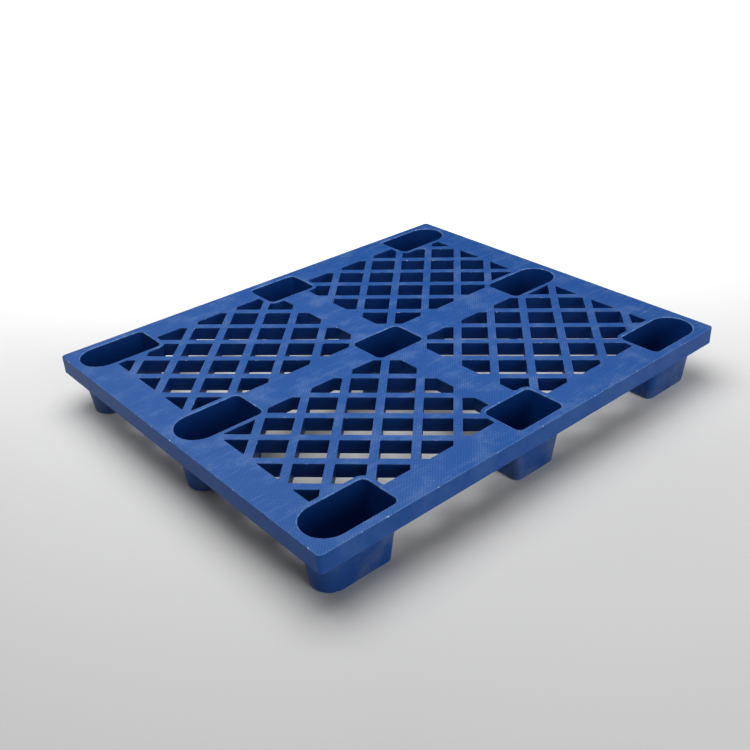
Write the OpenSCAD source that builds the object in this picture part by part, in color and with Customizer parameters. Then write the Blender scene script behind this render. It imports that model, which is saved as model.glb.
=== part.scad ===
// Nestable nine-leg grid pallet, moulded in one piece.
// +X runs along the long side, +Y to the back and +Z up.
// The origin is on the floor, under the middle of the deck.
// Each node is a region of the one moulding, and the regions meet face to face.

/* [Deck] */
// Length of the deck along X
deck_l = 1200; // [1100:10:1300]
// Width of the deck along Y
deck_w = 1000; // [900:10:1100]
// Height of the deck top above the floor
total_h = 140; // [120:5:160]
// Thickness of the deck skin
skin_t = 3; // [2.5:0.5:4]
// Radius of the deck's corners in plan
deck_corner_r = 10; // [8:1:20]

/* [Skirt] */
// Height of the skirt round the deck, down from the deck top
skirt_h = 42.5; // [35:0.5:50]
// Thickness of the skirt
skirt_t = 3.5; // [3:0.5:5]

/* [Leg cups] */
// Land between a cup's mouth and the edge of the deck
cup_margin = 20; // [16:1:24]
// Width of every cup's mouth along Y
cup_w = 103; // [90:1:110]
// Length along X of the mouths in the two end columns
end_cup_l = 183; // [160:1:190]
// Length along X of the mouths in the middle column
mid_cup_l = 141; // [120:1:150]
// Corner radius of a mouth
cup_corner_r = 15; // [15:1:20]
// Lean of the leg walls, in mm inwards for each 100 mm down
lean = 10.5; // [8:0.5:11]
// Thickness of the leg walls
leg_wall = 3.5; // [3:0.5:4]
// Thickness of the sole
sole_t = 4; // [3:0.5:6]
// Diameter of the drain hole in each sole
drain_d = 14; // [8:1:20]

/* [Lattice] */
// Distance between bar crossings, along X and along Y
crossing_step = 117; // [110:1:125]
// Width of a lattice bar
bar_w = 19; // [16:0.5:26]
// Depth of the lattice and of the underside ribs, down from the deck top
rib_depth = 33; // [24:1:34]
// Thickness of the ribs and of the wall round each lattice window
rib_t = 3; // [2.5:0.5:3]
// Land between a cup's mouth and the lattice holes
cup_land = 10.5; // [10:0.5:12]
// Smallest tip of a hole that is cut at a window's edge, and not left solid
least_tip = 8; // [5:1:15]

/* [Bands] */
// Width of the solid bands along the two short sides
end_band_w = 81; // [76:1:90]
// Width of the solid bands along the two long sides
side_band_w = 78; // [74:1:84]
// Width of the middle band that runs along Y
cross_spine_w = 80; // [70:1:90]
// Width of the middle band that runs along X
long_spine_w = 89; // [80:1:94]
// Number of cross ribs under each band
cross_ribs = 3; // [2:1:5]

/* [Hidden] */
$fn = 64;

body_blue = [0.17, 0.34, 0.66];
slope = lean / 100;
half_l = deck_l / 2;
half_w = deck_w / 2;
// Inner faces of the skirt
in_l = half_l - skirt_t;
in_w = half_w - skirt_t;
// Half sizes of the mouths, and the middles of the outer cups
cup_hy = cup_w / 2;
end_hx = end_cup_l / 2;
mid_hx = mid_cup_l / 2;
end_cx = half_l - cup_margin - end_hx;
row_cy = half_w - cup_margin - cup_hy;
// Land that belongs to a leg, from its mouth to the wall of the lattice window
collar = cup_land - rib_t;
// Edges of the lattice holes' area, for the window at +X +Y
win_x0 = cross_spine_w / 2;
win_x1 = half_l - end_band_w;
win_y0 = long_spine_w / 2;
win_y1 = half_w - side_band_w;
// Collar edges that the bands and spines run between
from_x = mid_hx + collar;
to_x = end_cx - end_hx - collar;
from_y = cup_hy + collar;
to_y = row_cy - cup_hy - collar;
// Lattice, counted square to its bars
bar_step = crossing_step / sqrt(2);
hole_side = bar_step - bar_w;
channel_w = bar_w - 2 * rib_t;
cell_count = ceil((half_l + half_w) / sqrt(2) / bar_step);
// Overshoot of a cutter past the face that it opens
eps = 1;

// ---- flat outlines ----

module rect(x0, y0, x1, y1) {
    translate([x0, y0]) square([x1 - x0, y1 - y0]);
}

// Rectangle about the origin with round corners
module round_rect(hx, hy, r) {
    rect(r - hx, -hy, hx - r, hy);
    rect(-hx, r - hy, hx, hy - r);
    for (sx = [-1, 1], sy = [-1, 1])
        translate([sx * (hx - r), sy * (hy - r)]) circle(r);
}

// Mouth of the cup in column i and row j, grown by some land
module mouth(i, j, grow) {
    translate([i * end_cx, j * row_cy])
        round_rect((i == 0 ? mid_hx : end_hx) + grow, cup_hy + grow, cup_corner_r + grow);
}

// Lattice window at +X +Y: the area of its holes, grown outwards
module window(grow) {
    difference() {
        rect(win_x0 - grow, win_y0 - grow, win_x1 + grow, win_y1 + grow);
        for (i = [0, 1], j = [0, 1]) mouth(i, j, cup_land - grow);
    }
}

// Whether a cell whose middle lies at (u, v) on the diagonals reaches far enough into the window
function reaches(u, v) =
    let (x = (u - v) / sqrt(2), y = (u + v) / sqrt(2), far = hole_side / sqrt(2) - least_tip)
    x > win_x0 - far && x < win_x1 + far && y > win_y0 - far && y < win_y1 + far;

// Cells between the bars, sized w_u by w_v and shifted by parts of a step along the diagonals
module cells(w_u, w_v, shift_u, shift_v) {
    rotate(45)
        for (a = [0 : cell_count], b = [-cell_count : cell_count]) {
            u = (a + shift_u) * bar_step;
            v = (b + shift_v) * bar_step;
            if (reaches(u, v)) translate([u, v]) square([w_u, w_v], center = true);
        }
}

module hole_cells() {
    cells(hole_side, hole_side, 0.5, 0.5);
}

// Hollows under the bars, between their two ribs, and under their crossings
module channel_cells() {
    cells(hole_side, channel_w, 0.5, 0);
    cells(channel_w, hole_side, 0, 0.5);
    cells(channel_w, channel_w, 0, 0);
}

// Slab of a flat outline, from depth d0 down to depth d1 below the deck top
module slab(d0, d1) {
    translate([0, 0, total_h - d1]) linear_extrude(d1 - d0) children();
}

// ---- drafted cups ----

// Cross-section of two walls that lean in, from depth d0 to d1
module leaning(half, d0, d1) {
    polygon([
        [slope * d0 - half, -d0], [half - slope * d0, -d0],
        [half - slope * d1, -d1], [slope * d1 - half, -d1]
    ]);
}

// Leaning round corner that turns from angle a
module drafted_corner(r, d0, d1, a, turn) {
    rotate(a)
        rotate_extrude(angle = turn)
            polygon([[0, -d0], [r - slope * d0, -d0], [r - slope * d1, -d1], [0, -d1]]);
}

// End wall between two round corners, facing +X; x is where its corners turn
module drafted_end(hx, hy, x, r, d0, d1) {
    rotate([90, 0, 0])
        linear_extrude(2 * (hy - r), center = true)
            polygon([[x, -d0], [hx - slope * d0, -d0], [hx - slope * d1, -d1], [x, -d1]]);
    translate([x, hy - r, 0]) drafted_corner(r, d0, d1, 0, 90);
    translate([x, r - hy, 0]) drafted_corner(r, d0, d1, -90, 90);
}

// Body with leaning walls about the origin; its +X end may be a full round
module drafted(hx, hy, r, full_round, d0, d1) {
    out_x = full_round ? hx - hy : hx - r;
    translate([r - hx, 0, 0])
        rotate([90, 0, 90])
            linear_extrude(hx - r + out_x) leaning(hy, d0, d1);
    mirror([1, 0, 0]) drafted_end(hx, hy, hx - r, r, d0, d1);
    if (full_round) translate([out_x, 0, 0]) drafted_corner(hy, d0, d1, -90, 180);
    else drafted_end(hx, hy, out_x, r, d0, d1);
}

// ---- sub-parts ----

// What a round corner takes off a square one that points to (sx, sy)
module corner_notch(sx, sy, r) {
    difference() {
        translate([-sx * r / 2, -sy * r / 2]) square(r, center = true);
        translate([-sx * r, -sy * r]) circle(r);
    }
}

// Leg in column i and row j, each 0 or 1: cup, sole and the collar of deck round its mouth
module leg(i, j) {
    hx = i == 0 ? mid_hx : end_hx;
    x1 = i == 0 ? hx + collar : in_l - end_cx;
    y1 = j == 0 ? cup_hy + collar : in_w - row_cy;
    x0 = -hx - collar;
    y0 = -cup_hy - collar;
    round_r = cup_corner_r + collar;
    rib_x = hx / 2;
    module outline() {
        difference() {
            rect(x0, y0, x1, y1);
            translate([x0, y0]) corner_notch(-1, -1, round_r);
            if (j == 0) translate([x0, y1]) corner_notch(-1, 1, round_r);
            if (i == 0) translate([x1, y0]) corner_notch(1, -1, round_r);
            if (i == 0 && j == 0) translate([x1, y1]) corner_notch(1, 1, round_r);
        }
    }
    module ribs() {
        for (x = [-rib_x, rib_x]) rect(x - rib_t / 2, y0, x + rib_t / 2, y1);
        rect(x0, -rib_t / 2, x1, rib_t / 2);
    }
    translate([i * end_cx, j * row_cy, 0])
        difference() {
            union() {
                slab(0, skin_t) outline();
                slab(0, rib_depth) ribs();
                translate([0, 0, total_h])
                    drafted(hx + leg_wall, cup_hy + leg_wall, cup_corner_r + leg_wall, i == 1, 0, total_h);
            }
            translate([0, 0, total_h])
                drafted(hx, cup_hy, cup_corner_r, i == 1, -eps, total_h - sole_t);
            translate([0, 0, -eps]) cylinder(h = sole_t + 2 * eps, d = drain_d);
        }
}

// Lattice panel at +X +Y, with the wall round its window
module grid() {
    slab(0, skin_t) difference() {
        window(rib_t);
        intersection() {
            window(0);
            hole_cells();
        }
    }
    slab(skin_t, rib_depth) difference() {
        window(rib_t);
        intersection() {
            window(0);
            union() {
                hole_cells();
                channel_cells();
            }
        }
    }
}

// Solid strip of deck with a rib along its middle and ribs across it
module strip(x0, y0, x1, y1) {
    along_x = x1 - x0 > y1 - y0;
    mid_x = (x0 + x1) / 2;
    mid_y = (y0 + y1) / 2;
    slab(0, skin_t) rect(x0, y0, x1, y1);
    slab(0, rib_depth) {
        if (along_x) rect(x0, mid_y - rib_t / 2, x1, mid_y + rib_t / 2);
        else rect(mid_x - rib_t / 2, y0, mid_x + rib_t / 2, y1);
        for (k = [1 : cross_ribs]) {
            part = k / (cross_ribs + 1);
            x = x0 + part * (x1 - x0);
            y = y0 + part * (y1 - y0);
            if (along_x) rect(x - rib_t / 2, y0, x + rib_t / 2, y1);
            else rect(x0, y - rib_t / 2, x1, y + rib_t / 2);
        }
    }
}

// Skirt along the +X side or the +Y side, mitred at the deck's corners
module skirt(along_x) {
    reach = half_w + eps;
    slab(0, skirt_h) intersection() {
        difference() {
            round_rect(half_l, half_w, deck_corner_r);
            round_rect(in_l, in_w, deck_corner_r - skirt_t);
        }
        if (along_x) polygon([
            [half_w - half_l, 0], [half_l - half_w, 0],
            [half_l - half_w + reach, reach], [half_w - half_l - reach, reach]
        ]);
        else polygon([[half_l - half_w, 0], [half_l - half_w + reach, reach], [half_l - half_w + reach, -reach]]);
    }
}

// Copy of a +X +Y sub-part on the side (sx, sy)
module side(sx, sy) {
    mirror([sx < 0 ? 1 : 0, 0, 0]) mirror([0, sy < 0 ? 1 : 0, 0]) children();
}

module leg_front_left() { color(body_blue) side(-1, -1) leg(1, 1); }
module leg_front_mid() { color(body_blue) side(1, -1) leg(0, 1); }
module leg_front_right() { color(body_blue) side(1, -1) leg(1, 1); }
module leg_mid_left() { color(body_blue) side(-1, 1) leg(1, 0); }
module leg_center() { color(body_blue) leg(0, 0); }
module leg_mid_right() { color(body_blue) leg(1, 0); }
module leg_back_left() { color(body_blue) side(-1, 1) leg(1, 1); }
module leg_back_mid() { color(body_blue) leg(0, 1); }
module leg_back_right() { color(body_blue) leg(1, 1); }

module grid_front_left() { color(body_blue) side(-1, -1) grid(); }
module grid_front_right() { color(body_blue) side(1, -1) grid(); }
module grid_back_left() { color(body_blue) side(-1, 1) grid(); }
module grid_back_right() { color(body_blue) grid(); }

module side_band() { strip(from_x, win_y1 + rib_t, to_x, in_w); }
module end_band() { strip(win_x1 + rib_t, from_y, in_l, to_y); }
module long_spine() { strip(from_x, rib_t - win_y0, to_x, win_y0 - rib_t); }
module cross_spine() { strip(rib_t - win_x0, from_y, win_x0 - rib_t, to_y); }

module band_front_left() { color(body_blue) side(-1, -1) side_band(); }
module band_front_right() { color(body_blue) side(1, -1) side_band(); }
module band_back_left() { color(body_blue) side(-1, 1) side_band(); }
module band_back_right() { color(body_blue) side_band(); }
module band_left_front() { color(body_blue) side(-1, -1) end_band(); }
module band_left_back() { color(body_blue) side(-1, 1) end_band(); }
module band_right_front() { color(body_blue) side(1, -1) end_band(); }
module band_right_back() { color(body_blue) end_band(); }
module spine_left() { color(body_blue) side(-1, 1) long_spine(); }
module spine_right() { color(body_blue) long_spine(); }
module spine_front() { color(body_blue) side(1, -1) cross_spine(); }
module spine_back() { color(body_blue) cross_spine(); }

module skirt_front() { color(body_blue) side(1, -1) skirt(true); }
module skirt_back() { color(body_blue) skirt(true); }
module skirt_left() { color(body_blue) side(-1, 1) skirt(false); }
module skirt_right() { color(body_blue) skirt(false); }

leg_front_left();
leg_front_mid();
leg_front_right();
leg_mid_left();
leg_center();
leg_mid_right();
leg_back_left();
leg_back_mid();
leg_back_right();
grid_front_left();
grid_front_right();
grid_back_left();
grid_back_right();
band_front_left();
band_front_right();
band_back_left();
band_back_right();
band_left_front();
band_left_back();
band_right_front();
band_right_back();
spine_left();
spine_right();
spine_front();
spine_back();
skirt_front();
skirt_back();
skirt_left();
skirt_right();
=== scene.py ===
"""Looks of a nestable nine-leg grid pallet, moulded in one piece of navy blue plastic.

Each region of the moulding is a closed mesh with the rounded edges of the real one. The outlines are
worked out in millimetres from the boxes of the CAD nodes and the named values below.
"""

import math

import bmesh
import bpy
import numpy as np
from mathutils import Matrix, Vector
from mathutils.geometry import delaunay_2d_cdt


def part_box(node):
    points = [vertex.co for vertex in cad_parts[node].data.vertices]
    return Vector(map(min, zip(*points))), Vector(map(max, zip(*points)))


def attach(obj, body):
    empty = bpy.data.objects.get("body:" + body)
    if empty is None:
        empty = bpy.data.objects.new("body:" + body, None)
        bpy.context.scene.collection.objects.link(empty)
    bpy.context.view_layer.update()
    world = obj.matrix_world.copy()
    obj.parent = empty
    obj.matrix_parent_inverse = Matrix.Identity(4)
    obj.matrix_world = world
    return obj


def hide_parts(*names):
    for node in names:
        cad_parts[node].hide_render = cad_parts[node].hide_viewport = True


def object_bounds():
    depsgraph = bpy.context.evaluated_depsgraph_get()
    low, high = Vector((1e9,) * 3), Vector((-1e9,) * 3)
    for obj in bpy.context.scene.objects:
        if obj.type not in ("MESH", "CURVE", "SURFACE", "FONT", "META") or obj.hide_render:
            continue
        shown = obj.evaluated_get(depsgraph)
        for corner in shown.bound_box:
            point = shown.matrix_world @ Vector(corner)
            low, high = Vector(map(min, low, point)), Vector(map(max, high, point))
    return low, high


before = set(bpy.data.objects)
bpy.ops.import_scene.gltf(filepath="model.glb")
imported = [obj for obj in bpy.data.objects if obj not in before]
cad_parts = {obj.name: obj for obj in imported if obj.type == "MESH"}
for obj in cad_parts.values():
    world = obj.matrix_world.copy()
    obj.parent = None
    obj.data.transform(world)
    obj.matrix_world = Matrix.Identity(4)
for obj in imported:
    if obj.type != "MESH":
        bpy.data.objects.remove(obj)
cad_lo, cad_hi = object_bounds()

MM = 0.001


def box_mm(node):
    """Lowest and highest corner of a CAD node, in millimetres."""
    lo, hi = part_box(node)
    return np.array(lo) / MM, np.array(hi) / MM


# ---- places that the frame gives ----

corner_lo, corner_hi = box_mm("leg_back_right")
_, centre_hi = box_mm("leg_center")
window_lo, window_hi = box_mm("grid_back_right")
skirt_lo, _ = box_mm("skirt_back")

TOP = cad_hi.z / MM
HALF_L = cad_hi.x / MM
HALF_W = cad_hi.y / MM
IN_L, IN_W = corner_hi[0], corner_hi[1]
FROM_X, FROM_Y = centre_hi[0], centre_hi[1]
TO_X, TO_Y = corner_lo[0], corner_lo[1]
RIB_BOTTOM = window_lo[2]
SKIRT_BOTTOM = skirt_lo[2]

# ---- sizes of the moulding, in millimetres ----

# Thickness of the deck's skin, of its ribs, and of the skirt
SKIN = 3
RIB = 3
SKIRT = HALF_L - IN_L
# Radius of the deck's corners
DECK_CORNER = 10

# Flat deck round a cup's mouth that belongs to its leg, and flat deck between a mouth and the deck's edge
COLLAR = 7.5
CUP_MARGIN = 20
# Corner radius of a mouth, how much of it is lost with each millimetre of depth, and what is left at least
CUP_CORNER = 15
CORNER_TAPER = 0.03
LEAST_CORNER = 1
# How far a leg's walls come in with each millimetre of depth
LEAN = 0.105
LEG_WALL = 3.5
SOLE = 4
DRAIN_R = 7

# From one crossing of the lattice's bars to the next along X or Y, and the width of a bar
CROSSING_STEP = 117
BAR = 19
# How far into the window a hole reaches at least, if its middle lies outside
LEAST_TIP = 8
# Ribs across each band and spine
CROSS_RIBS = 3

# Radii of the rounded edges
RIM_R = 2.4
DECK_EDGE_R = 2
HOLE_EDGE_R = 0.8
HOLE_CORNER_R = 1.8
RIB_EDGE_R = 0.6
SKIRT_FOOT_R = 1.2
SOLE_EDGE_R = 4.5
CUP_FLOOR_R = 5
DRAIN_EDGE_R = 0.8

# Steps of a quarter turn
ARC_STEPS = 8
EDGE_STEPS = 4
HOLE_CORNER_STEPS = 3
DRAIN_EDGE_STEPS = 2

# Smallest pieces of cut cells that are kept, in square millimetres
LEAST_HOLE = 60
LEAST_CHANNEL = 40

# Wear and painted highlight of the rounded edges of legs, deck and skirt, and holes, from 0 to 1
LEG_EDGE_WEAR_AND_HIGHLIGHT = 1.0
DECK_EDGE_WEAR_AND_HIGHLIGHT = 0.5
HOLE_WEAR_AND_HIGHLIGHT = 0.35
# How far below the top a point of a hole's edge lies before it gets the wear and the painted highlight
WORN_AND_HIGHLIT_DROP = 0.01

# Points on the same 1/GRID_PER_MM of a millimetre are one, and so are points nearer than MERGE, in metres
GRID_PER_MM = 500
MERGE = 5e-6
SHARP_ANGLE = math.radians(36)

# Tolerances of the outlines: the nearest that two of their points lie, how far off a side a point on it
# may lie, and how far off a rib's middle line the middle of its joint may lie
NEAREST_POINTS = 1e-3
ON_SIDE = 0.01
OFF_RIB = 0.2
# Turns below this are straight, turns above the next are rounded, and the gap between stops on an arc
STRAIGHT_DEGREES = 0.5
ROUNDED_DEGREES = 20
STOP_GAP_DEGREES = 2.2
# Most of a side that one rounded corner takes
MOST_OF_SIDE = 0.45

PLATE_BOTTOM = TOP - SKIN
WIN_X0, WIN_Y0 = window_lo[0] + RIB, window_lo[1] + RIB
WIN_X1, WIN_Y1 = window_hi[0] - RIB, window_hi[1] - RIB
CUP_HY = FROM_Y - COLLAR
MID_HX = FROM_X - COLLAR
END_HX = (HALF_L - CUP_MARGIN - TO_X - COLLAR) / 2
END_CX = HALF_L - CUP_MARGIN - END_HX
ROW_CY = HALF_W - CUP_MARGIN - CUP_HY
CUP_LAND = COLLAR + RIB

BAR_STEP = CROSSING_STEP / math.sqrt(2)
HOLE = BAR_STEP - BAR
CHANNEL = BAR - 2 * RIB
CELL_COUNT = math.ceil((HALF_L + HALF_W) / math.sqrt(2) / BAR_STEP)


# ---- outlines: arrays of points, counter-clockwise ----


def arc(centre, radius, degrees):
    """Points on a circle at the given angles."""
    turn = np.radians(degrees)
    return np.array(centre) + radius * np.column_stack([np.cos(turn), np.sin(turn)])


def rect(x0, y0, x1, y1):
    return np.array([[x0, y0], [x1, y0], [x1, y1], [x0, y1]], float)


def soft_rect(x0, y0, x1, y1, radii):
    """Rectangle whose corners have their own radii, from (x0, y0) on counter-clockwise."""
    corners = [(x0, y0, 1, 1), (x1, y0, -1, 1), (x1, y1, -1, -1), (x0, y1, 1, -1)]
    parts = []
    for k, (x, y, sx, sy) in enumerate(corners):
        if radii[k]:
            start = 180 + 90 * k
            angles = np.linspace(start, start + 90, ARC_STEPS + 1)
            parts.append(arc((x + sx * radii[k], y + sy * radii[k]), radii[k], angles))
        else:
            parts.append(np.array([[x, y]], float))
    return np.vstack(parts)


def grown(loop, by):
    """The outline moved outwards by a distance, its corners mitred."""
    along = np.roll(loop, -1, 0) - loop
    along /= np.linalg.norm(along, axis=1)[:, None]
    after = np.column_stack([along[:, 1], -along[:, 0]])
    before = np.roll(after, 1, 0)
    mitre = (before + after) / (1 + (before * after).sum(1))[:, None]
    return loop + by * mitre


def turn_at(loop):
    """Angle that the outline turns by at each point, in degrees; positive to the left."""
    after = np.roll(loop, -1, 0) - loop
    before = loop - np.roll(loop, 1, 0)
    cross = before[:, 0] * after[:, 1] - before[:, 1] * after[:, 0]
    return np.degrees(np.arctan2(cross, (before * after).sum(1)))


def rounded(loop, radius):
    """The outline with each sharp corner rounded, as far as the sides beside it allow."""
    turns = turn_at(loop)
    side = np.linalg.norm(np.roll(loop, -1, 0) - loop, axis=1)
    points = []
    for k, corner in enumerate(loop):
        half = math.radians(abs(turns[k])) / 2
        if math.degrees(half) * 2 < ROUNDED_DEGREES:
            points.append(corner)
            continue
        room = MOST_OF_SIDE * min(side[k], side[k - 1])
        cut = min(radius * math.tan(half), room)
        start = corner + (loop[k - 1] - corner) / side[k - 1] * cut
        end = corner + (loop[(k + 1) % len(loop)] - corner) / side[k] * cut
        for t in np.linspace(0, 1, HOLE_CORNER_STEPS + 1):
            points.append((1 - t) ** 2 * start + 2 * t * (1 - t) * corner + t ** 2 * end)
    return np.array(points)


def within(points, loop):
    """Whether each point lies inside the outline."""
    x, y = points[:, 0][:, None], points[:, 1][:, None]
    x0, y0 = loop[:, 0][None], loop[:, 1][None]
    x1, y1 = np.roll(loop[:, 0], -1)[None], np.roll(loop[:, 1], -1)[None]
    spans = (y0 > y) != (y1 > y)
    rise = np.where(y1 == y0, 1, y1 - y0)
    hits = spans & (x < x0 + (y - y0) / rise * (x1 - x0))
    return hits.sum(1) % 2 == 1


def within_any(points, loops):
    """Whether each point lies inside one or more of the outlines."""
    inside = np.zeros(len(points), bool)
    for loop in loops:
        inside |= within(points, loop)
    return inside


def triangulated(lines):
    """Constrained triangles of closed outlines and open lines, as points and corners."""
    given, edges = [], []
    for line, closed in lines:
        base = len(given)
        given += [tuple(p) for p in line]
        count = len(line)
        edges += [(base + k, base + (k + 1) % count) for k in range(count if closed else count - 1)]
    out = delaunay_2d_cdt([Vector(p) for p in given], edges, [], 0, NEAREST_POINTS, True)
    points = [given[ids[0]] if ids else tuple(p) for p, ids in zip(out[0], out[3])]
    return np.array(points), np.array(out[2])


def outlines_of(lines, keep):
    """Outlines of the area that keep() accepts, out of what the closed lines divide."""
    points, corners = triangulated([(line, True) for line in lines])
    kept = corners[keep(points[corners].mean(1))]
    sides = {(t[k], t[(k + 1) % 3]) for t in kept.tolist() for k in range(3)}
    following = {a: b for a, b in sides if (b, a) not in sides}
    loops = []
    while following:
        start, at = following.popitem()
        chain = [start]
        while at != start:
            chain.append(at)
            at = following.pop(at)
        loops.append(without_straights(points[chain]))
    return loops


def without_straights(loop):
    """The outline without the points on its straight stretches."""
    return loop[np.abs(turn_at(loop)) > STRAIGHT_DEGREES]


def area(loop):
    x, y = loop[:, 0], loop[:, 1]
    return (x * np.roll(y, -1) - y * np.roll(x, -1)).sum() / 2


# ---- solids ----


class Moulding:
    """Faces of one closed solid, in millimetres. Points that coincide are one point."""

    def __init__(self):
        self.points = []
        self.wear_and_highlight = []
        self.faces = []
        self.known = {}

    def point(self, x, y, z, wear_and_highlight=0.0):
        key = (round(x * GRID_PER_MM), round(y * GRID_PER_MM), round(z * GRID_PER_MM))
        if key not in self.known:
            self.known[key] = len(self.points)
            self.points.append((x, y, z))
            self.wear_and_highlight.append(wear_and_highlight)
        return self.known[key]

    def face(self, corners):
        ring = list(dict.fromkeys(corners))
        if len(ring) > 2:
            self.faces.append(ring)

    def ring(self, loop, z, wear_and_highlight=0.0):
        return [self.point(x, y, z, wear_and_highlight) for x, y in loop]

    def strip(self, upper, lower, skip=()):
        """Wall between two rings of as many points. skip holds the sides that stay open."""
        count = len(upper)
        for k in range(count):
            if k not in skip:
                n = (k + 1) % count
                self.face([lower[k], lower[n], upper[n], upper[k]])

    def fill(self, z, lines, keep):
        """Flat faces at one height, where keep() accepts them."""
        points, corners = triangulated(lines)
        kept = corners[keep(points[corners].mean(1))]
        index = {k: self.point(*points[k], z) for k in np.unique(kept)}
        for t in kept:
            self.face([index[k] for k in t])

    def build(self, node, sx=1, sy=1):
        """Makes the piece that stands for a CAD node, mirrored to the side (sx, sy)."""
        mesh = bpy.data.meshes.new("moulded_" + node)
        points = np.array(self.points) * MM * (sx, sy, 1)
        mesh.from_pydata(points.tolist(), [], self.faces)
        # Edge mask for wear and painted highlights on the rounded edges.
        wear_and_highlight = mesh.attributes.new("edge_wear_and_highlight", "FLOAT", "POINT")
        wear_and_highlight.data.foreach_set("value", np.array(self.wear_and_highlight, np.float32))
        work = bmesh.new()
        work.from_mesh(mesh)
        bmesh.ops.remove_doubles(work, verts=work.verts, dist=MERGE)
        bmesh.ops.recalc_face_normals(work, faces=work.faces)
        for side in work.edges:
            side.smooth = side.is_manifold and side.calc_face_angle() < SHARP_ANGLE
        for face in work.faces:
            face.smooth = True
        work.to_mesh(mesh)
        work.free()
        piece = bpy.data.objects.new("moulded_" + node, mesh)
        bpy.context.scene.collection.objects.link(piece)
        weighted = piece.modifiers.new("weighted_normals", "WEIGHTED_NORMAL")
        weighted.keep_sharp = True
        weighted.weight = 100
        mesh.materials.append(plastic)
        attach(piece, "root")
        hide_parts(node)
        return piece


def edge_curve(radius, steps=EDGE_STEPS):
    """Rounded edge as (distance in from the wall, drop below the face), from the face to the wall."""
    return [(radius * (1 - math.sin(t)), radius * (1 - math.cos(t)))
            for t in np.linspace(0, math.pi / 2, steps + 1)]


def sunk(points, loops, radius):
    """How far a rounded edge of that radius lies off the face, at points beside the outlines."""
    near = np.full(len(points), float(radius))
    for loop in loops:
        step = np.roll(loop, -1, 0) - loop
        offset = points[:, None] - loop[None]
        along = np.clip((offset * step).sum(2) / (step ** 2).sum(1), 0, 1)
        gap = np.linalg.norm(offset - along[..., None] * step, axis=2)
        near = np.minimum(near, gap.min(1))
    return radius - np.sqrt(radius ** 2 - (radius - near) ** 2)


def layered(lines, layers, top_drop=None, bottom_rise=None):
    """Solid of flat layers. lines are closed outlines, layers are (top, bottom, keep) from the top down.
    top_drop and bottom_rise give how far points lie below the top and above the bottom."""
    solid = Moulding()
    points, corners = triangulated([(line, True) for line in lines])
    drop = top_drop(points) if top_drop else np.zeros(len(points))
    rise = bottom_rise(points) if bottom_rise else np.zeros(len(points))
    middles = points[corners].mean(1)
    kept = [keep(middles) for _, _, keep in layers]
    heights = [layers[0][0]] + [layer[1] for layer in layers]
    last = len(layers)

    def at(k, level):
        z = heights[level]
        if level == 0:
            return solid.point(*points[k], z - drop[k], HOLE_WEAR_AND_HIGHLIGHT * (drop[k] > WORN_AND_HIGHLIT_DROP))
        if level == last:
            return solid.point(*points[k], z + rise[k])
        return solid.point(*points[k], z)

    nothing = np.zeros(len(corners), bool)
    for level in range(last + 1):
        above = kept[level - 1] if level > 0 else nothing
        below = kept[level] if level < last else nothing
        for t in corners[above != below]:
            solid.face([at(k, level) for k in t])
    for level, inside in enumerate(kept):
        sides = {(t[k], t[(k + 1) % 3]) for t in corners[inside].tolist() for k in range(3)}
        for a, b in sides:
            if (b, a) not in sides:
                solid.face([at(a, level), at(a, level + 1), at(b, level + 1), at(b, level)])
    return solid


# ---- the lattice ----


def mouth(i, j, grow):
    """Mouth of the cup in column i and row j, grown by some land, as the lattice sees it."""
    hx = (END_HX if i else MID_HX) + grow
    hy = CUP_HY + grow
    x, y = i * END_CX, j * ROW_CY
    return soft_rect(x - hx, y - hy, x + hx, y + hy, [CUP_CORNER + grow] * 4)


def window(grow):
    """Outline of the lattice window at +X +Y, grown outwards."""
    whole = rect(WIN_X0 - grow, WIN_Y0 - grow, WIN_X1 + grow, WIN_Y1 + grow)
    mouths = [mouth(i, j, CUP_LAND - grow) for i in (0, 1) for j in (0, 1)]
    loops = outlines_of([whole] + mouths, lambda p: within(p, whole) & ~within_any(p, mouths))
    return max(loops, key=area)


def cells(w_u, w_v, shift_u, shift_v):
    """Cells between the bars, sized w_u by w_v and shifted by parts of a step along the diagonals."""
    far = HOLE / math.sqrt(2) - LEAST_TIP
    found = []
    for a in range(CELL_COUNT + 1):
        for b in range(-CELL_COUNT, CELL_COUNT + 1):
            u, v = (a + shift_u) * BAR_STEP, (b + shift_v) * BAR_STEP
            x, y = (u - v) / math.sqrt(2), (u + v) / math.sqrt(2)
            if WIN_X0 - far < x < WIN_X1 + far and WIN_Y0 - far < y < WIN_Y1 + far:
                square = rect(u - w_u / 2, v - w_v / 2, u + w_u / 2, v + w_v / 2)
                found.append(np.column_stack([square[:, 0] - square[:, 1], square.sum(1)]) / math.sqrt(2))
    return found


def cut_cells(squares, opening, least_area):
    """Outlines of the cells, cut to the window."""
    loops = outlines_of([opening] + squares, lambda p: within(p, opening) & within_any(p, squares))
    return [loop for loop in loops if area(loop) > least_area]


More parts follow.
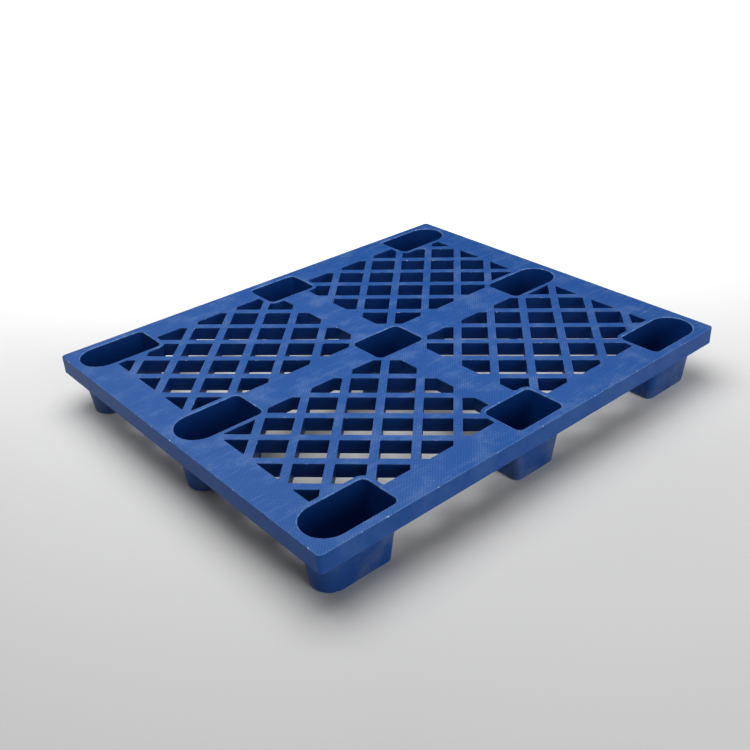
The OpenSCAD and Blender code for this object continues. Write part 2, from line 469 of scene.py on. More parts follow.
def lattice():
    """Lattice panel at +X +Y: skin with holes, ribs on both sides of each bar, and the window's wall."""
    opening, wall = window(0), window(RIB)
    hole_squares = cells(HOLE, HOLE, 0.5, 0.5)
    holes = [rounded(loop, HOLE_CORNER_R) for loop in cut_cells(hole_squares, opening, LEAST_HOLE)]
    channel_squares = (cells(HOLE, CHANNEL, 0.5, 0) + cells(CHANNEL, HOLE, 0, 0.5)
                       + cells(CHANNEL, CHANNEL, 0, 0))
    channels = cut_cells(channel_squares, opening, LEAST_CHANNEL)
    lines = [wall]
    for hole in holes:
        lines += [hole] + [grown(hole, inset) for inset, _ in edge_curve(HOLE_EDGE_R)[:-1]]
        lines.append(grown(hole, RIB_EDGE_R))
    for channel in channels:
        lines += [channel, grown(channel, RIB_EDGE_R)]
    layers = [
        (TOP, PLATE_BOTTOM, lambda p: within(p, wall) & ~within_any(p, holes)),
        (PLATE_BOTTOM, RIB_BOTTOM, lambda p: within(p, wall) & ~within_any(p, holes + channels)),
    ]
    return layered(lines, layers, lambda p: sunk(p, holes, HOLE_EDGE_R),
                   lambda p: sunk(p, holes + channels, RIB_EDGE_R))


# ---- bands and spines ----


def strip_of_deck(x0, y0, x1, y1):
    """Solid strip of deck with a rib along its middle and ribs across it."""
    along_x = x1 - x0 > y1 - y0
    mid_x, mid_y = (x0 + x1) / 2, (y0 + y1) / 2
    plate = rect(x0, y0, x1, y1)
    if along_x:
        ribs = [rect(x0, mid_y - RIB / 2, x1, mid_y + RIB / 2)]
    else:
        ribs = [rect(mid_x - RIB / 2, y0, mid_x + RIB / 2, y1)]
    for k in range(1, CROSS_RIBS + 1):
        part = k / (CROSS_RIBS + 1)
        x, y = x0 + part * (x1 - x0), y0 + part * (y1 - y0)
        if along_x:
            ribs.append(rect(x - RIB / 2, y0, x + RIB / 2, y1))
        else:
            ribs.append(rect(x0, y - RIB / 2, x1, y + RIB / 2))
    layers = [
        (TOP, PLATE_BOTTOM, lambda p: within(p, plate)),
        (PLATE_BOTTOM, RIB_BOTTOM, lambda p: within_any(p, ribs)),
    ]
    return layered([plate] + ribs, layers)


# ---- legs ----


def with_stops(start, end, steps, stops):
    """Angles of an arc in even steps, with the stops among them and none close to a stop."""
    even = np.linspace(start, end, steps + 1)
    clear = [a for a in even if a in (start, end) or all(abs(a - s) > STOP_GAP_DEGREES for s in stops)]
    return np.array(sorted(clear + list(stops)))


def cup_outline(half_x, full_round, grow, corner):
    """Cup outline about the origin, grown by grow from the mouth. Every outline of one cup has its
    points in the same order, with two points where each rib meets it."""
    hx, hy = half_x + grow, CUP_HY + grow
    rib_x = half_x / 2
    half_rib = RIB / 2
    parts = []
    if full_round:
        middle = half_x - CUP_HY
        across = math.degrees(math.asin(half_rib / CUP_HY))
        steep = [math.degrees(math.acos((rib_x + s * half_rib - middle) / CUP_HY)) for s in (1, -1)]
        stops = [-steep[1], -steep[0], -across, across, steep[0], steep[1]]
        parts.append(arc((middle, 0), hy, with_stops(-90, 90, 4 * ARC_STEPS, stops)))
        right_stops = []
    else:
        for turn, side in ((-90, -1), (0, 1)):
            angles = np.linspace(turn, turn + 90, ARC_STEPS + 1)
            parts.append(arc((hx - corner, side * (hy - corner)), corner, angles))
            if side < 0:
                parts.append(np.array([[hx, -half_rib], [hx, half_rib]]))
        right_stops = [rib_x + half_rib, rib_x - half_rib]
    left_stops = [half_rib - rib_x, -half_rib - rib_x]
    parts.append(np.array([[x, hy] for x in right_stops + left_stops]))
    for turn, side in ((90, 1), (180, -1)):
        angles = np.linspace(turn, turn + 90, ARC_STEPS + 1)
        parts.append(arc((corner - hx, side * (hy - corner)), corner, angles))
        if side > 0:
            parts.append(np.array([[-hx, half_rib], [-hx, -half_rib]]))
    parts.append(np.array([[x, -hy] for x in sorted(left_stops + right_stops)]))
    return np.vstack(parts)


def rib_sides(loop, half_x):
    """Where ribs meet a cup outline at the mouth's size: (index of a side, its outward direction)."""
    rib_x = half_x / 2
    widest = 1.2 * RIB
    found = []
    for k, p in enumerate(loop):
        after = loop[(k + 1) % len(loop)]
        x, y = (p + after) / 2
        if np.linalg.norm(after - p) >= widest:
            continue
        if abs(y) < ON_SIDE:
            found.append((k, (math.copysign(1, x), 0)))
        elif abs(abs(x) - rib_x) < OFF_RIB and abs(y) > 0.8 * CUP_HY:
            found.append((k, (0, math.copysign(1, y))))
    return found


def leg(i, j):
    """Leg in column i and row j, each 0 or 1: cup, sole and the collar of deck round its mouth."""
    solid = Moulding()
    half_x = END_HX if i else MID_HX
    full_round = i == 1
    x0, y0 = -half_x - COLLAR, -CUP_HY - COLLAR
    x1 = IN_L - END_CX if i else half_x + COLLAR
    y1 = IN_W - ROW_CY if j else CUP_HY + COLLAR
    round_r = CUP_CORNER + COLLAR
    radii = [round_r, 0 if i else round_r, 0, 0 if j else round_r]
    if i and j:
        radii[2] = DECK_CORNER - SKIRT
    elif not i and not j:
        radii[2] = round_r
    plate = soft_rect(x0, y0, x1, y1, radii)
    outline = cup_outline(half_x, full_round, 0, CUP_CORNER)
    ribs = rib_sides(outline, half_x)

    def cup(grow, z):
        depth = TOP - z
        corner = max(CUP_CORNER + grow - CORNER_TAPER * depth, LEAST_CORNER)
        return cup_outline(half_x, full_round, grow - LEAN * depth, corner)

    # Points where the ribs end at the plate's edge
    ends = {}
    for k, (dx, dy) in ribs:
        pair = (outline[k], outline[(k + 1) % len(outline)])
        if dx:
            rows = sorted([-RIB / 2, RIB / 2], key=lambda y: abs(y - pair[0][1]))
            ends[k] = [np.array([x1 if dx > 0 else x0, y]) for y in rows]
        else:
            middle = math.copysign(half_x / 2, pair[0][0])
            columns = sorted([middle - RIB / 2, middle + RIB / 2], key=lambda x: abs(x - pair[0][0]))
            ends[k] = [np.array([x, y1 if dy > 0 else y0]) for x in columns]
    edge = with_points(plate, [p for pair in ends.values() for p in pair])

    def move(loop):
        return loop + (i * END_CX, j * ROW_CY)

    # Inside of the cup: rim, wall, rounded floor
    inner = []
    for k, (inset, drop) in enumerate(edge_curve(RIM_R)):
        # Rim edges get wear and a painted highlight.
        wear_and_highlight = LEG_EDGE_WEAR_AND_HIGHLIGHT * (0 < k < EDGE_STEPS)
        inner.append(solid.ring(move(cup(inset, TOP - drop)), TOP - drop, wear_and_highlight))
    for inset, drop in reversed(edge_curve(CUP_FLOOR_R)):
        inner.append(solid.ring(move(cup(-inset, SOLE + drop)), SOLE + drop))
    for upper, lower in zip(inner, inner[1:]):
        solid.strip(upper, lower)

    # Outside of the leg, from under the plate down to the rounded sole
    under = solid.ring(move(cup(LEG_WALL, PLATE_BOTTOM)), PLATE_BOTTOM)
    rib_foot = solid.ring(move(cup(LEG_WALL, RIB_BOTTOM)), RIB_BOTTOM)
    solid.strip(under, rib_foot, skip={k for k, _ in ribs})
    outer = [rib_foot]
    for k, (inset, drop) in enumerate(reversed(edge_curve(SOLE_EDGE_R))):
        wear_and_highlight = LEG_EDGE_WEAR_AND_HIGHLIGHT * (0 < k < EDGE_STEPS)
        outer.append(solid.ring(move(cup(LEG_WALL - inset, drop)), drop, wear_and_highlight))
    for upper, lower in zip(outer, outer[1:]):
        solid.strip(upper, lower)

    # Drain hole through the sole
    angles = np.linspace(0, 360, 4 * ARC_STEPS, endpoint=False)
    drain_edge = edge_curve(DRAIN_EDGE_R, DRAIN_EDGE_STEPS)
    drain = [(inset, SOLE - drop) for inset, drop in drain_edge]
    drain += [(inset, drop) for inset, drop in reversed(drain_edge)]
    bore = [solid.ring(move(arc((0, 0), DRAIN_R + inset, angles)), z) for inset, z in drain]
    for upper, lower in zip(bore, bore[1:]):
        solid.strip(upper, lower)

    # Flat faces
    wide_drain = move(arc((0, 0), DRAIN_R + DRAIN_EDGE_R, angles))
    rim = move(cup(RIM_R, TOP))
    cup_floor = move(cup(-CUP_FLOOR_R, SOLE))
    sole = move(cup(LEG_WALL - SOLE_EDGE_R, 0))
    under_wall = move(cup(LEG_WALL, PLATE_BOTTOM))
    edge = move(edge)
    solid.fill(TOP, [(edge, True), (rim, True)], lambda p: within(p, edge) & ~within(p, rim))
    solid.fill(SOLE, [(cup_floor, True), (wide_drain, True)],
               lambda p: within(p, cup_floor) & ~within(p, wide_drain))
    solid.fill(0, [(sole, True), (wide_drain, True)], lambda p: within(p, sole) & ~within(p, wide_drain))
    feet, rib_lines = [], []
    for k, _ in ribs:
        far = [move(p) for p in ends[k]]
        n = (k + 1) % len(under_wall)
        feet.append(np.array([under_wall[k], far[0], far[1], under_wall[n]]))
        rib_lines += [(np.array([under_wall[k], far[0]]), False), (np.array([under_wall[n], far[1]]), False)]
        top = [solid.point(*far[0], PLATE_BOTTOM), solid.point(*far[1], PLATE_BOTTOM)]
        foot = [solid.point(*far[0], RIB_BOTTOM), solid.point(*far[1], RIB_BOTTOM)]
        solid.face([under[k], top[0], foot[0], rib_foot[k]])
        solid.face([under[n], rib_foot[n], foot[1], top[1]])
        solid.face([rib_foot[k], foot[0], foot[1], rib_foot[n]])
        solid.face([top[0], top[1], foot[1], foot[0]])
    solid.fill(PLATE_BOTTOM, [(edge, True), (under_wall, True)] + rib_lines,
               lambda p: within(p, edge) & ~within(p, under_wall) & ~within_any(p, feet))
    solid.strip(solid.ring(edge, TOP), solid.ring(edge, PLATE_BOTTOM))
    return solid


def with_points(loop, extra):
    """The outline with extra points set into the sides that they lie on."""
    points = []
    for k, start in enumerate(loop):
        step = loop[(k + 1) % len(loop)] - start
        length = np.linalg.norm(step)
        points.append(start)
        on_side = []
        for p in extra:
            along = (p - start) @ step / length
            off = abs((p - start) @ np.array([step[1], -step[0]])) / length
            if off < ON_SIDE and ON_SIDE < along < length - ON_SIDE:
                on_side.append((along, p))
        points += [p for _, p in sorted(on_side, key=lambda s: s[0])]
    return np.array(points)


# ---- skirt ----


def skirt(along_x):
    """Skirt along the +Y side or the +X side, between the middles of the deck's round corners."""
    section = [(SKIRT, TOP)]
    section += [(inset, TOP - drop) for inset, drop in edge_curve(DECK_EDGE_R)]
    section += [(inset, SKIRT_BOTTOM + drop) for inset, drop in reversed(edge_curve(SKIRT_FOOT_R))]
    section += [(SKIRT - inset, SKIRT_BOTTOM + drop) for inset, drop in edge_curve(SKIRT_FOOT_R / 2)]
    middle_x, middle_y = HALF_L - DECK_CORNER, HALF_W - DECK_CORNER
    if along_x:
        ends = [((middle_x, middle_y), (45, 90)), ((-middle_x, middle_y), (90, 135))]
    else:
        ends = [((middle_x, -middle_y), (-45, 0)), ((middle_x, middle_y), (0, 45))]
    solid = Moulding()
    rings = []
    for centre, (start, end) in ends:
        for angle in np.linspace(start, end, ARC_STEPS // 2 + 1):
            turn = math.radians(angle)
            ring = []
            for inset, z in section:
                reach = DECK_CORNER - inset
                place = (centre[0] + reach * math.cos(turn), centre[1] + reach * math.sin(turn))
                # Edges that get wear and a painted highlight.
                worn_and_highlit = TOP - DECK_EDGE_R < z < TOP or z < SKIRT_BOTTOM + SKIRT_FOOT_R
                ring.append(solid.point(*place, z, DECK_EDGE_WEAR_AND_HIGHLIGHT * worn_and_highlit))
            rings.append(ring)
    for here, there in zip(rings, rings[1:]):
        solid.strip(here, there)
    solid.face(rings[0])
    solid.face(rings[-1])
    return solid


# ---- material ----


# Places of the colour sockets among the many of a mix node
MIX_RGBA_INPUTS = (0, 6, 7)
MIX_RGBA_OUTPUT = 2


class Nodes:
    """Small helper that adds linked shader nodes."""

    def __init__(self, owner):
        owner.use_nodes = True
        self.tree = owner.node_tree
        self.tree.nodes.clear()

    def add(self, kind, inputs=None, **settings):
        node = self.tree.nodes.new(kind)
        for name, value in settings.items():
            setattr(node, name, value)
        for name, value in (inputs or {}).items():
            self.put(node.inputs[name], value)
        return node

    def put(self, socket, value):
        if isinstance(value, bpy.types.NodeSocket):
            self.tree.links.new(value, socket)
        else:
            socket.default_value = value

    def math(self, operation, *values, clamp=False):
        node = self.add("ShaderNodeMath", operation=operation, use_clamp=clamp)
        for socket, value in zip(node.inputs, values):
            self.put(socket, value)
        return node.outputs[0]

    def noise(self, where, scale, detail, roughness=0.5):
        node = self.add("ShaderNodeTexNoise",
                        {"Vector": where, "Scale": scale, "Detail": detail, "Roughness": roughness})
        return node.outputs["Fac"]

    def between(self, value, low, high, to_low=0.0, to_high=1.0):
        inputs = {"Value": value, "From Min": low, "From Max": high, "To Min": to_low, "To Max": to_high}
        node = self.add("ShaderNodeMapRange", inputs, interpolation_type="SMOOTHSTEP")
        return node.outputs["Result"]

    def mix(self, share, first, second):
        node = self.add("ShaderNodeMix", data_type="RGBA")
        factor, first_colour, second_colour = (node.inputs[k] for k in MIX_RGBA_INPUTS)
        self.put(factor, share)
        self.put(first_colour, first)
        self.put(second_colour, second)
        return node.outputs[MIX_RGBA_OUTPUT]

    def cover(self, base, mask, share, colour):
        """The base colour with up to that share of another where the mask is 1."""
        return self.mix(self.math("MULTIPLY", mask, share), base, colour)

    def split(self, vector):
        return self.add("ShaderNodeSeparateXYZ", {"Vector": vector}).outputs

    def drawn_out(self, where, degrees, scale):
        """The place turned about the upright axis and scaled, for patterns drawn out one way."""
        inputs = {"Vector": where, "Rotation": (0, 0, math.radians(degrees)), "Scale": scale}
        return self.add("ShaderNodeMapping", inputs).outputs[0]

    def bump(self, height, distance, strength, normal=None):
        inputs = {"Height": height, "Distance": distance, "Strength": strength}
        if normal is not None:
            inputs["Normal"] = normal
        return self.add("ShaderNodeBump", inputs).outputs["Normal"]

    def show(self, shader, kind):
        """Links a shader to an output node of that kind."""
        self.add(kind, {"Surface": shader})


# Linear colours of the plastic; each pair is the two ends of its patches. The walls' blues are painted
# shade, darker than the same plastic outside; the outside's and the top's blues are paler, painted light.
SHADED_WALL_BLUES = (0.0016, 0.021, 0.114, 1), (0.0022, 0.025, 0.134, 1)
LIT_OUTSIDE_BLUES = (0.0120, 0.059, 0.235, 1), (0.0260, 0.082, 0.260, 1)
LIT_TOP_BLUES = (0.021, 0.086, 0.287, 1), (0.031, 0.100, 0.314, 1)

# Noises as scale per metre, detail and roughness
BROAD_NOISE = 3.2, 2.0
CLOUD_NOISE = 15.0, 5.0, 0.62
GRAIN_NOISE = 700.0, 2.0
STREAK_NOISE = 1.0, 6.0, 0.62
SCRATCH_NOISE = 1.0, 3.0, 0.5
TOP_DUST_NOISE = 230.0, 3.0, 0.6
LEG_DUST_AND_SHEEN_NOISE = 12.0, 4.0, 0.6
NICK_NOISE = 55.0, 6.0, 0.7
TEAR_NOISE = 95.0, 2.0
WAVE_NOISE = 9.0, 1.0

# How streaks and scratches are drawn out: degrees about the upright axis, and scale per metre
STREAKS_DRAWN = 38, (9, 90, 30)
SCRATCHES_DRAWN = -64, (16, 260, 30)

# Levels of a noise between which a patch or a mark comes up
BROAD_PATCHES = 0.35, 0.65
OUTSIDE_PATCHES = 0.40, 0.70
TOP_DUST_SPECKS = 0.56, 0.66
TOP_DUST_PATCHES = 0.50, 0.64
LEG_DUST_AND_SHEEN_PATCHES = 0.40, 0.62
NICKS = 0.40, 0.62
TEARS = 0.68, 0.72
ROUGH_PATCHES = 0.3, 0.7

# Marks on the deck's top: level where one starts, level where it is full, share, and colour.
# The levels of the first two are metres along X and along the deck's diagonal to the back right; the first
# is a painted sheen to the left, the second painted shade to the back right.
LEFT_SHEEN = 0.1, -0.6, 0.07, (0.200, 0.280, 0.300, 1)
BACK_SHADE = 0.0, 0.5, 0.60, (0.011, 0.078, 0.287, 1)
CLOUDS = 0.45, 0.70, 0.50, (0.110, 0.195, 0.390, 1)
STREAKS = 0.54, 0.67, 0.28, (0.145, 0.230, 0.410, 1)
SCRATCHES = 0.66, 0.72, 0.36, (0.230, 0.320, 0.490, 1)

# Share and colour of what a mask brings up
TOP_DUST = 0.42, (0.270, 0.350, 0.500, 1)
GROOVE_SHADE = 0.62, (0.005, 0.045, 0.215, 1)
LEG_DUST_AND_SHEEN = 0.32, (0.120, 0.150, 0.205, 1)
WORN_AND_HIGHLIT = 0.85, (0.125, 0.240, 0.500, 1)
TORN = 0.8, (0.400, 0.470, 0.560, 1)

# Millimetres below the top between which the painted-shade look of the walls turns into the paler,
# painted-light look of the top
TOP_SKIN = 1.2, 0.1
# Metres within the CAD box between which the paler, painted-light look of the skirt's outer faces comes up
OUTER_FACE = 0.007, 0.004
# Metres from the skirt's lower edge up over which the look of the legs' outside, paler as painted light and
# with dust, fades
LEG_FADE = 0.001
# Upward parts of the normal between which a wall turns from a cup's inside into a leg's outside
LEANS_DOWN = 0.03, -0.03
# How much of the outside's paler, painted-light look a leg has
LEG_SHARE = 0.6
# Millimetres over which worn edges with their painted highlight come up below the rim and above the skirt's
# foot
RIM_FADE = 1
FOOT_FADE = 2
# How worn and how brightly painted-highlit an edge is, at least and at most, where nicks are few and many
NICK_WEAR_AND_HIGHLIGHT = 0.35, 1.0
# Levels of the edges' wear and painted highlight between which tears come up
TEAR_WEAR = 0.05, 0.30

# Metres from groove to groove of the knurl, and how soft its ridges are, as part of half of that
KNURL_PITCH = 0.0053
RIDGE_SOFTNESS = 0.5
# Heights in metres and strengths of the bumps
KNURL_BUMP = 0.00045, 1.0
GRAIN_BUMP = 0.00006, 0.6
WAVE_BUMP = 0.0005, 0.4

WALL_ROUGHNESS = 0.36, 0.46
TOP_ROUGHER = 0.14
GRAIN_ROUGHER = 0.12
PLASTIC_IOR = 1.5
PLASTIC_SPECULAR = 0.08


def outsides(n, at, normal):
    """How far a place counts as outside, and as the outside of a leg. The skirt's outer faces do, and below
    the skirt the walls that lean down, which are the legs' outer walls, in part."""
    # Outside faces get the paler colour, painted light; the rest keeps the darker one, painted shade.
    out_x = n.between(n.math("ABSOLUTE", at["X"]), *(HALF_L * MM - depth for depth in OUTER_FACE))
    out_y = n.between(n.math("ABSOLUTE", at["Y"]), *(HALF_W * MM - depth for depth in OUTER_FACE))
    leg_side = n.math("MULTIPLY", n.between(at["Z"], SKIRT_BOTTOM * MM + LEG_FADE, SKIRT_BOTTOM * MM),
                      n.between(normal["Z"], *LEANS_DOWN))
    outside = n.math("MAXIMUM", n.math("MAXIMUM", out_x, out_y), n.math("MULTIPLY", leg_side, LEG_SHARE))
    return outside, leg_side


def wall_colour(n, where, at, normal, broad, cloudy):
    """Deep blue inside as painted shade, paler on the skirt's face and outside the legs as painted light,
    with dust outside the legs that is also a painted sheen.
    """
    outside, leg_side = outsides(n, at, normal)
    # Painted shade: the walls are darker than the same plastic on the outside.
    inner = n.mix(n.between(broad, *BROAD_PATCHES), *SHADED_WALL_BLUES)
    # Painted light: the skirt's outer faces and, in part, the legs' outsides are paler.
    outer = n.mix(n.between(cloudy, *OUTSIDE_PATCHES), *LIT_OUTSIDE_BLUES)
    # Dust patches outside the legs, which also paint a grey sheen of the floor.
    dust = n.math("MULTIPLY", leg_side, n.between(n.noise(where, *LEG_DUST_AND_SHEEN_NOISE), *LEG_DUST_AND_SHEEN_PATCHES))
    return n.cover(n.mix(outside, inner, outer), dust, *LEG_DUST_AND_SHEEN)


def top_colour(n, where, at, diagonal, broad, cloudy, ridge):
    """Scuffed blue, with a painted sheen to the left, painted shade deeper to the back right, and painted
    shade in the knurl's grooves.
    """
    streaks = n.noise(n.drawn_out(where, *STREAKS_DRAWN), *STREAK_NOISE)
    scratches = n.noise(n.drawn_out(where, *SCRATCHES_DRAWN), *SCRATCH_NOISE)
    # Painted light: the deck's top is paler than the walls.
    top = n.mix(n.between(broad, *BROAD_PATCHES), *LIT_TOP_BLUES)
    # The first mark paints a sheen to the left; the second paints shade, deeper to the back right.
    marks = [(at["X"], LEFT_SHEEN), (diagonal, BACK_SHADE), (cloudy, CLOUDS), (streaks, STREAKS), (scratches, SCRATCHES)]
    for pattern, (start, full, share, colour) in marks:
        top = n.cover(top, n.between(pattern, start, full), share, colour)
    dust = n.math("MULTIPLY", n.between(n.noise(where, *TOP_DUST_NOISE), *TOP_DUST_SPECKS),
                  n.between(cloudy, *TOP_DUST_PATCHES))
    top = n.cover(top, dust, *TOP_DUST)
    # Painted shade in the knurl's grooves.
    return n.cover(top, n.math("SUBTRACT", 1.0, ridge), *GROOVE_SHADE)


def with_worn_and_highlit_edges(n, blue, where, at):
    """The blue, paler on the worn edges as wear and painted highlight, with torn specks on them."""
    at_rim = n.between(at["Z"], (TOP - RIM_R - RIM_FADE) * MM, (TOP - RIM_R) * MM)
    at_foot = n.between(at["Z"], (SKIRT_BOTTOM + FOOT_FADE) * MM, (SKIRT_BOTTOM + SKIRT_FOOT_R) * MM)
    worn_and_highlit = n.add("ShaderNodeAttribute", attribute_name="edge_wear_and_highlight").outputs["Fac"]
    worn_and_highlit = n.math("MULTIPLY", worn_and_highlit, n.math("MAXIMUM", at_rim, at_foot))
    nicks = n.between(n.noise(where, *NICK_NOISE), *NICKS, *NICK_WEAR_AND_HIGHLIGHT)
    # Paler worn edges, which are also painted highlights.
    blue = n.cover(blue, n.math("MULTIPLY", worn_and_highlit, nicks), *WORN_AND_HIGHLIT)
    torn = n.math("MULTIPLY", n.between(worn_and_highlit, *TEAR_WEAR), n.between(n.noise(where, *TEAR_NOISE), *TEARS))
    return n.cover(blue, torn, *TORN)


def knurl(n, across):
    """Fine diamond knurl on the deck's diagonals: 0 in its grooves, up to 1 on its ridges."""
    half = KNURL_PITCH / 2
    ridge_u = n.math("PINGPONG", across["X"], half)
    ridge_v = n.math("PINGPONG", across["Y"], half)
    return n.math("DIVIDE", n.math("SMOOTH_MIN", ridge_u, ridge_v, half * RIDGE_SOFTNESS), half, clamp=True)


def moulded_plastic():
    """Navy polyethylene: deep and satin on the walls, painted darker as shade, and on the deck's top paler
    as painted light, knurled and scuffed.
    """
    material = bpy.data.materials.new("navy_polyethylene")
    n = Nodes(material)
    texture = n.add("ShaderNodeTexCoord").outputs
    where = texture["Object"]
    at, normal = n.split(where), n.split(texture["Normal"])
    across = n.split(n.add("ShaderNodeVectorRotate", {"Vector": where, "Angle": math.radians(45)},
                           rotation_type="Z_AXIS").outputs[0])
    on_top = n.between(at["Z"], *((TOP - depth) * MM for depth in TOP_SKIN))
    broad, cloudy, grain = (n.noise(where, *kind) for kind in (BROAD_NOISE, CLOUD_NOISE, GRAIN_NOISE))
    ridge = knurl(n, across)

    wall = wall_colour(n, where, at, normal, broad, cloudy)
    top = top_colour(n, where, at, across["Y"], broad, cloudy, ridge)
    blue = with_worn_and_highlit_edges(n, n.mix(on_top, wall, top), where, at)

    rough = n.between(cloudy, *ROUGH_PATCHES, *WALL_ROUGHNESS)
    rough = n.math("ADD", rough, n.math("MULTIPLY", on_top, TOP_ROUGHER))
    rough = n.math("ADD", rough, n.math("MULTIPLY", n.math("SUBTRACT", grain, 0.5), GRAIN_ROUGHER))

    surface = n.bump(n.noise(where, *WAVE_NOISE), *WAVE_BUMP)
    surface = n.bump(grain, *GRAIN_BUMP, surface)
    surface = n.bump(n.math("MULTIPLY", ridge, on_top), *KNURL_BUMP, surface)

    shader = n.add("ShaderNodeBsdfPrincipled", {"Base Color": blue, "Roughness": rough, "Normal": surface})
    shader.inputs["IOR"].default_value = PLASTIC_IOR
    shader.inputs["Specular IOR Level"].default_value = PLASTIC_SPECULAR
    n.show(shader.outputs["BSDF"], "ShaderNodeOutputMaterial")
    return material


plastic = moulded_plastic()


# ---- pieces ----

SIDES = {"left": -1, "right": 1, "front": -1, "back": 1}


def build_legs():
    corner, end, side, centre = leg(1, 1), leg(1, 0), leg(0, 1), leg(0, 0)
    centre.build("leg_center")
    for x in ("left", "right"):
        end.build("leg_mid_" + x, SIDES[x], 1)
        for y in ("front", "back"):
            corner.build(f"leg_{y}_{x}", SIDES[x], SIDES[y])
    for y in ("front", "back"):
        side.build(f"leg_{y}_mid", 1, SIDES[y])


def build_deck():
    grid = lattice()
    side_band = strip_of_deck(FROM_X, WIN_Y1 + RIB, TO_X, IN_W)
    end_band = strip_of_deck(WIN_X1 + RIB, FROM_Y, IN_L, TO_Y)
    long_spine = strip_of_deck(FROM_X, RIB - WIN_Y0, TO_X, WIN_Y0 - RIB)
    cross_spine = strip_of_deck(RIB - WIN_X0, FROM_Y, WIN_X0 - RIB, TO_Y)
    for x in ("left", "right"):
        long_spine.build("spine_" + x, SIDES[x], 1)
        for y in ("front", "back"):
            grid.build(f"grid_{y}_{x}", SIDES[x], SIDES[y])
            side_band.build(f"band_{y}_{x}", SIDES[x], SIDES[y])
            end_band.build(f"band_{x}_{y}", SIDES[x], SIDES[y])
    for y in ("front", "back"):
        cross_spine.build("spine_" + y, 1, SIDES[y])


def build_skirt():
    long_side, short_side = skirt(True), skirt(False)
    for y in ("front", "back"):
        long_side.build("skirt_" + y, 1, SIDES[y])
    for x in ("left", "right"):
        short_side.build("skirt_" + x, SIDES[x], 1)


build_legs()
build_deck()
build_skirt()


# ---- floor, light and camera ----


# Half the floor's side, and how far it lies below the soles, in metres
FLOOR_REACH = 14
FLOOR_DROP = 0.0004
# Colours of the floor in front and behind, darker in front as a painted light falloff, and the metres back
# between which they change
FLOOR_GREYS = (0.50, 0.50, 0.50, 1), (0.72, 0.72, 0.72, 1)
FLOOR_CHANGE = -1.1, 1.5
# Speckle of the floor: scale per metre and detail, its levels, and how much of the colour is left
FLOOR_NOISE = 240.0, 3.0
FLOOR_SPECKLE = 0.3, 0.7, 0.98, 1.0
FLOOR_ROUGHNESS = 0.9
FLOOR_SPECULAR = 0.1
# Way back in the photograph's view, in X and Y
WAY_BACK = 0.65, 0.76
# Emission of the floor: metres back, and metres away, where it starts and is full, and its strengths
BACK_GLOW = -0.5, 2.6, 0.0, 1.05
AWAY_GLOW = 1.1, 2.6, 0.0, 0.75
# Emission added with each metre of X, taken off with each metre of Y, and where it comes up, in metres away
RIGHT_GLOW = 0.076, 0.065
RIGHT_GLOW_FROM = 0.5, 1.0

# Surround: heights between which it changes, as the upward part of the direction, and its strengths
SKY = 0.19, 0.07, 0.08, 0.88

# Softboxes: name, place, aim, size in metres, watts, spread in degrees
SOFTBOXES = [
    ("overhead", (-0.3, 0.2, 2.4), (-0.1, 0, 0.1), 2.3, 85, 180),
    ("front_fill", (0.0, -4.8, 1.6), (0.1, 0, 0.12), 2.6, 13, 50),
]


def floor_glow(n, at, back, where):
    """Emission that grows towards the back, away from the object and to the right."""
    away = n.add("ShaderNodeVectorMath", {0: where}, operation="LENGTH").outputs["Value"]
    glow = n.math("MAXIMUM", n.between(back, *BACK_GLOW), n.between(away, *AWAY_GLOW))
    right_x, right_y = (n.math("MULTIPLY", at[axis], part) for axis, part in zip("XY", RIGHT_GLOW))
    right = n.math("SUBTRACT", right_x, right_y, clamp=True)
    return n.math("ADD", glow, n.math("MULTIPLY", right, n.between(away, *RIGHT_GLOW_FROM)))


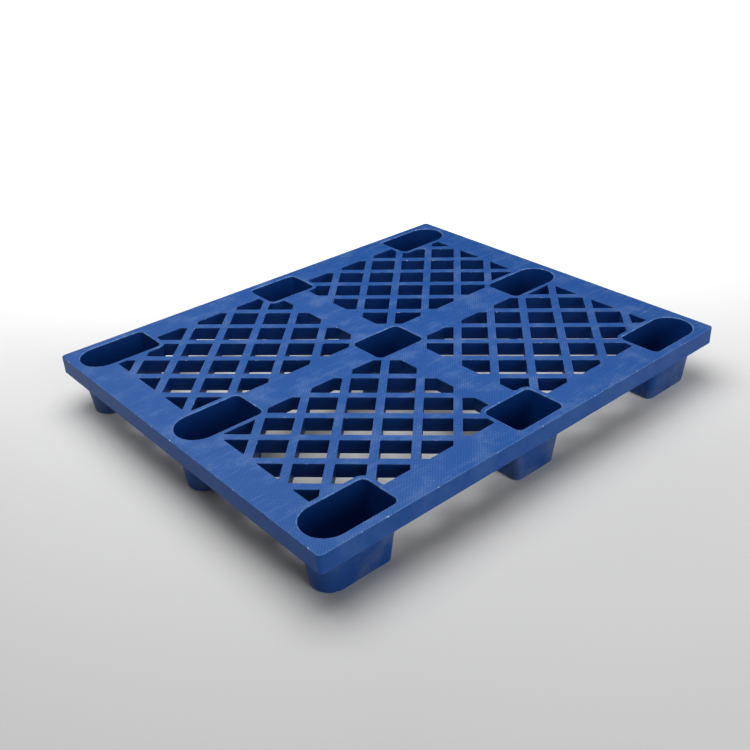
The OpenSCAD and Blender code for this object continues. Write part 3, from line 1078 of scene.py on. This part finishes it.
def pale_floor():
    """Seamless pale floor, painted darker in front as a light falloff, that glows more with distance, so
    that it fades to white behind the object.
    """
    material = bpy.data.materials.new("pale_floor")
    n = Nodes(material)
    where = n.add("ShaderNodeTexCoord").outputs["Object"]
    at = n.split(where)
    back = n.math("ADD", *(n.math("MULTIPLY", at[axis], part) for axis, part in zip("XY", WAY_BACK)))
    # Painted light falloff: the floor is darker in front.
    grey = n.mix(n.between(back, *FLOOR_CHANGE), *FLOOR_GREYS)
    speckle = n.between(n.noise(where, *FLOOR_NOISE), *FLOOR_SPECKLE)
    tone = n.mix(speckle, FLOOR_GREYS[0], grey)
    glow = floor_glow(n, at, back, where)
    shader = n.add("ShaderNodeBsdfPrincipled", {"Base Color": tone, "Emission Strength": glow})
    shader.inputs["Emission Color"].default_value = (1, 1, 1, 1)
    shader.inputs["Roughness"].default_value = FLOOR_ROUGHNESS
    shader.inputs["Specular IOR Level"].default_value = FLOOR_SPECULAR
    n.show(shader.outputs["BSDF"], "ShaderNodeOutputMaterial")
    mesh = bpy.data.meshes.new("floor")
    around = [(-1, -1), (1, -1), (1, 1), (-1, 1)]
    corners = [(x * FLOOR_REACH, y * FLOOR_REACH, -FLOOR_DROP) for x, y in around]
    mesh.from_pydata(corners, [], [(0, 1, 2, 3)])
    mesh.materials.append(material)
    floor = bpy.data.objects.new("floor", mesh)
    bpy.context.scene.collection.objects.link(floor)


def softbox(name, place, aim, size, watts, spread):
    """Square area light at a place, aimed at a point, with a grid that limits its spread."""
    data = bpy.data.lights.new(name, "AREA")
    data.size = size
    data.spread = math.radians(spread)
    data.energy = watts
    lamp = bpy.data.objects.new(name, data)
    lamp.location = place
    lamp.rotation_euler = (Vector(aim) - Vector(place)).to_track_quat("-Z", "Y").to_euler()
    bpy.context.scene.collection.objects.link(lamp)


def studio():
    """Two softboxes in a plain surround that is pale near the horizon."""
    world = bpy.data.worlds.new("studio")
    bpy.context.scene.world = world
    n = Nodes(world)
    toward = n.split(n.add("ShaderNodeTexCoord").outputs["Generated"])
    light = n.between(toward["Z"], *SKY)
    sky = n.add("ShaderNodeBackground", {"Color": (1, 1, 1, 1), "Strength": light})
    n.show(sky.outputs["Background"], "ShaderNodeOutputWorld")
    for settings in SOFTBOXES:
        softbox(*settings)


# Camera, solved from the deck's outline in the photograph: places in metres, lens and sensor in millimetres
CAMERA_PLACE = Vector((-1.3117, -1.5344, 1.2078))
CAMERA_AIM = Vector((-0.1051, -0.1183, 0.14))
CAMERA_ROLL = math.radians(2.281)
LENS = 45.84
SENSOR = 36
SHIFT_X = -0.0175
SHIFT_Y = -0.0012


def camera():
    """Camera at the photograph's viewing angle."""
    data = bpy.data.cameras.new("camera")
    data.lens = LENS
    data.sensor_width = SENSOR
    data.shift_x = SHIFT_X
    data.shift_y = SHIFT_Y
    eye = bpy.data.objects.new("camera", data)
    turn = (CAMERA_AIM - CAMERA_PLACE).to_track_quat("-Z", "Y").to_matrix().to_4x4()
    eye.matrix_world = Matrix.Translation(CAMERA_PLACE) @ turn @ Matrix.Rotation(-CAMERA_ROLL, 4, "Z")
    bpy.context.scene.collection.objects.link(eye)
    bpy.context.scene.camera = eye


pale_floor()
studio()
camera()
bpy.context.scene.view_settings.view_transform = "Standard"
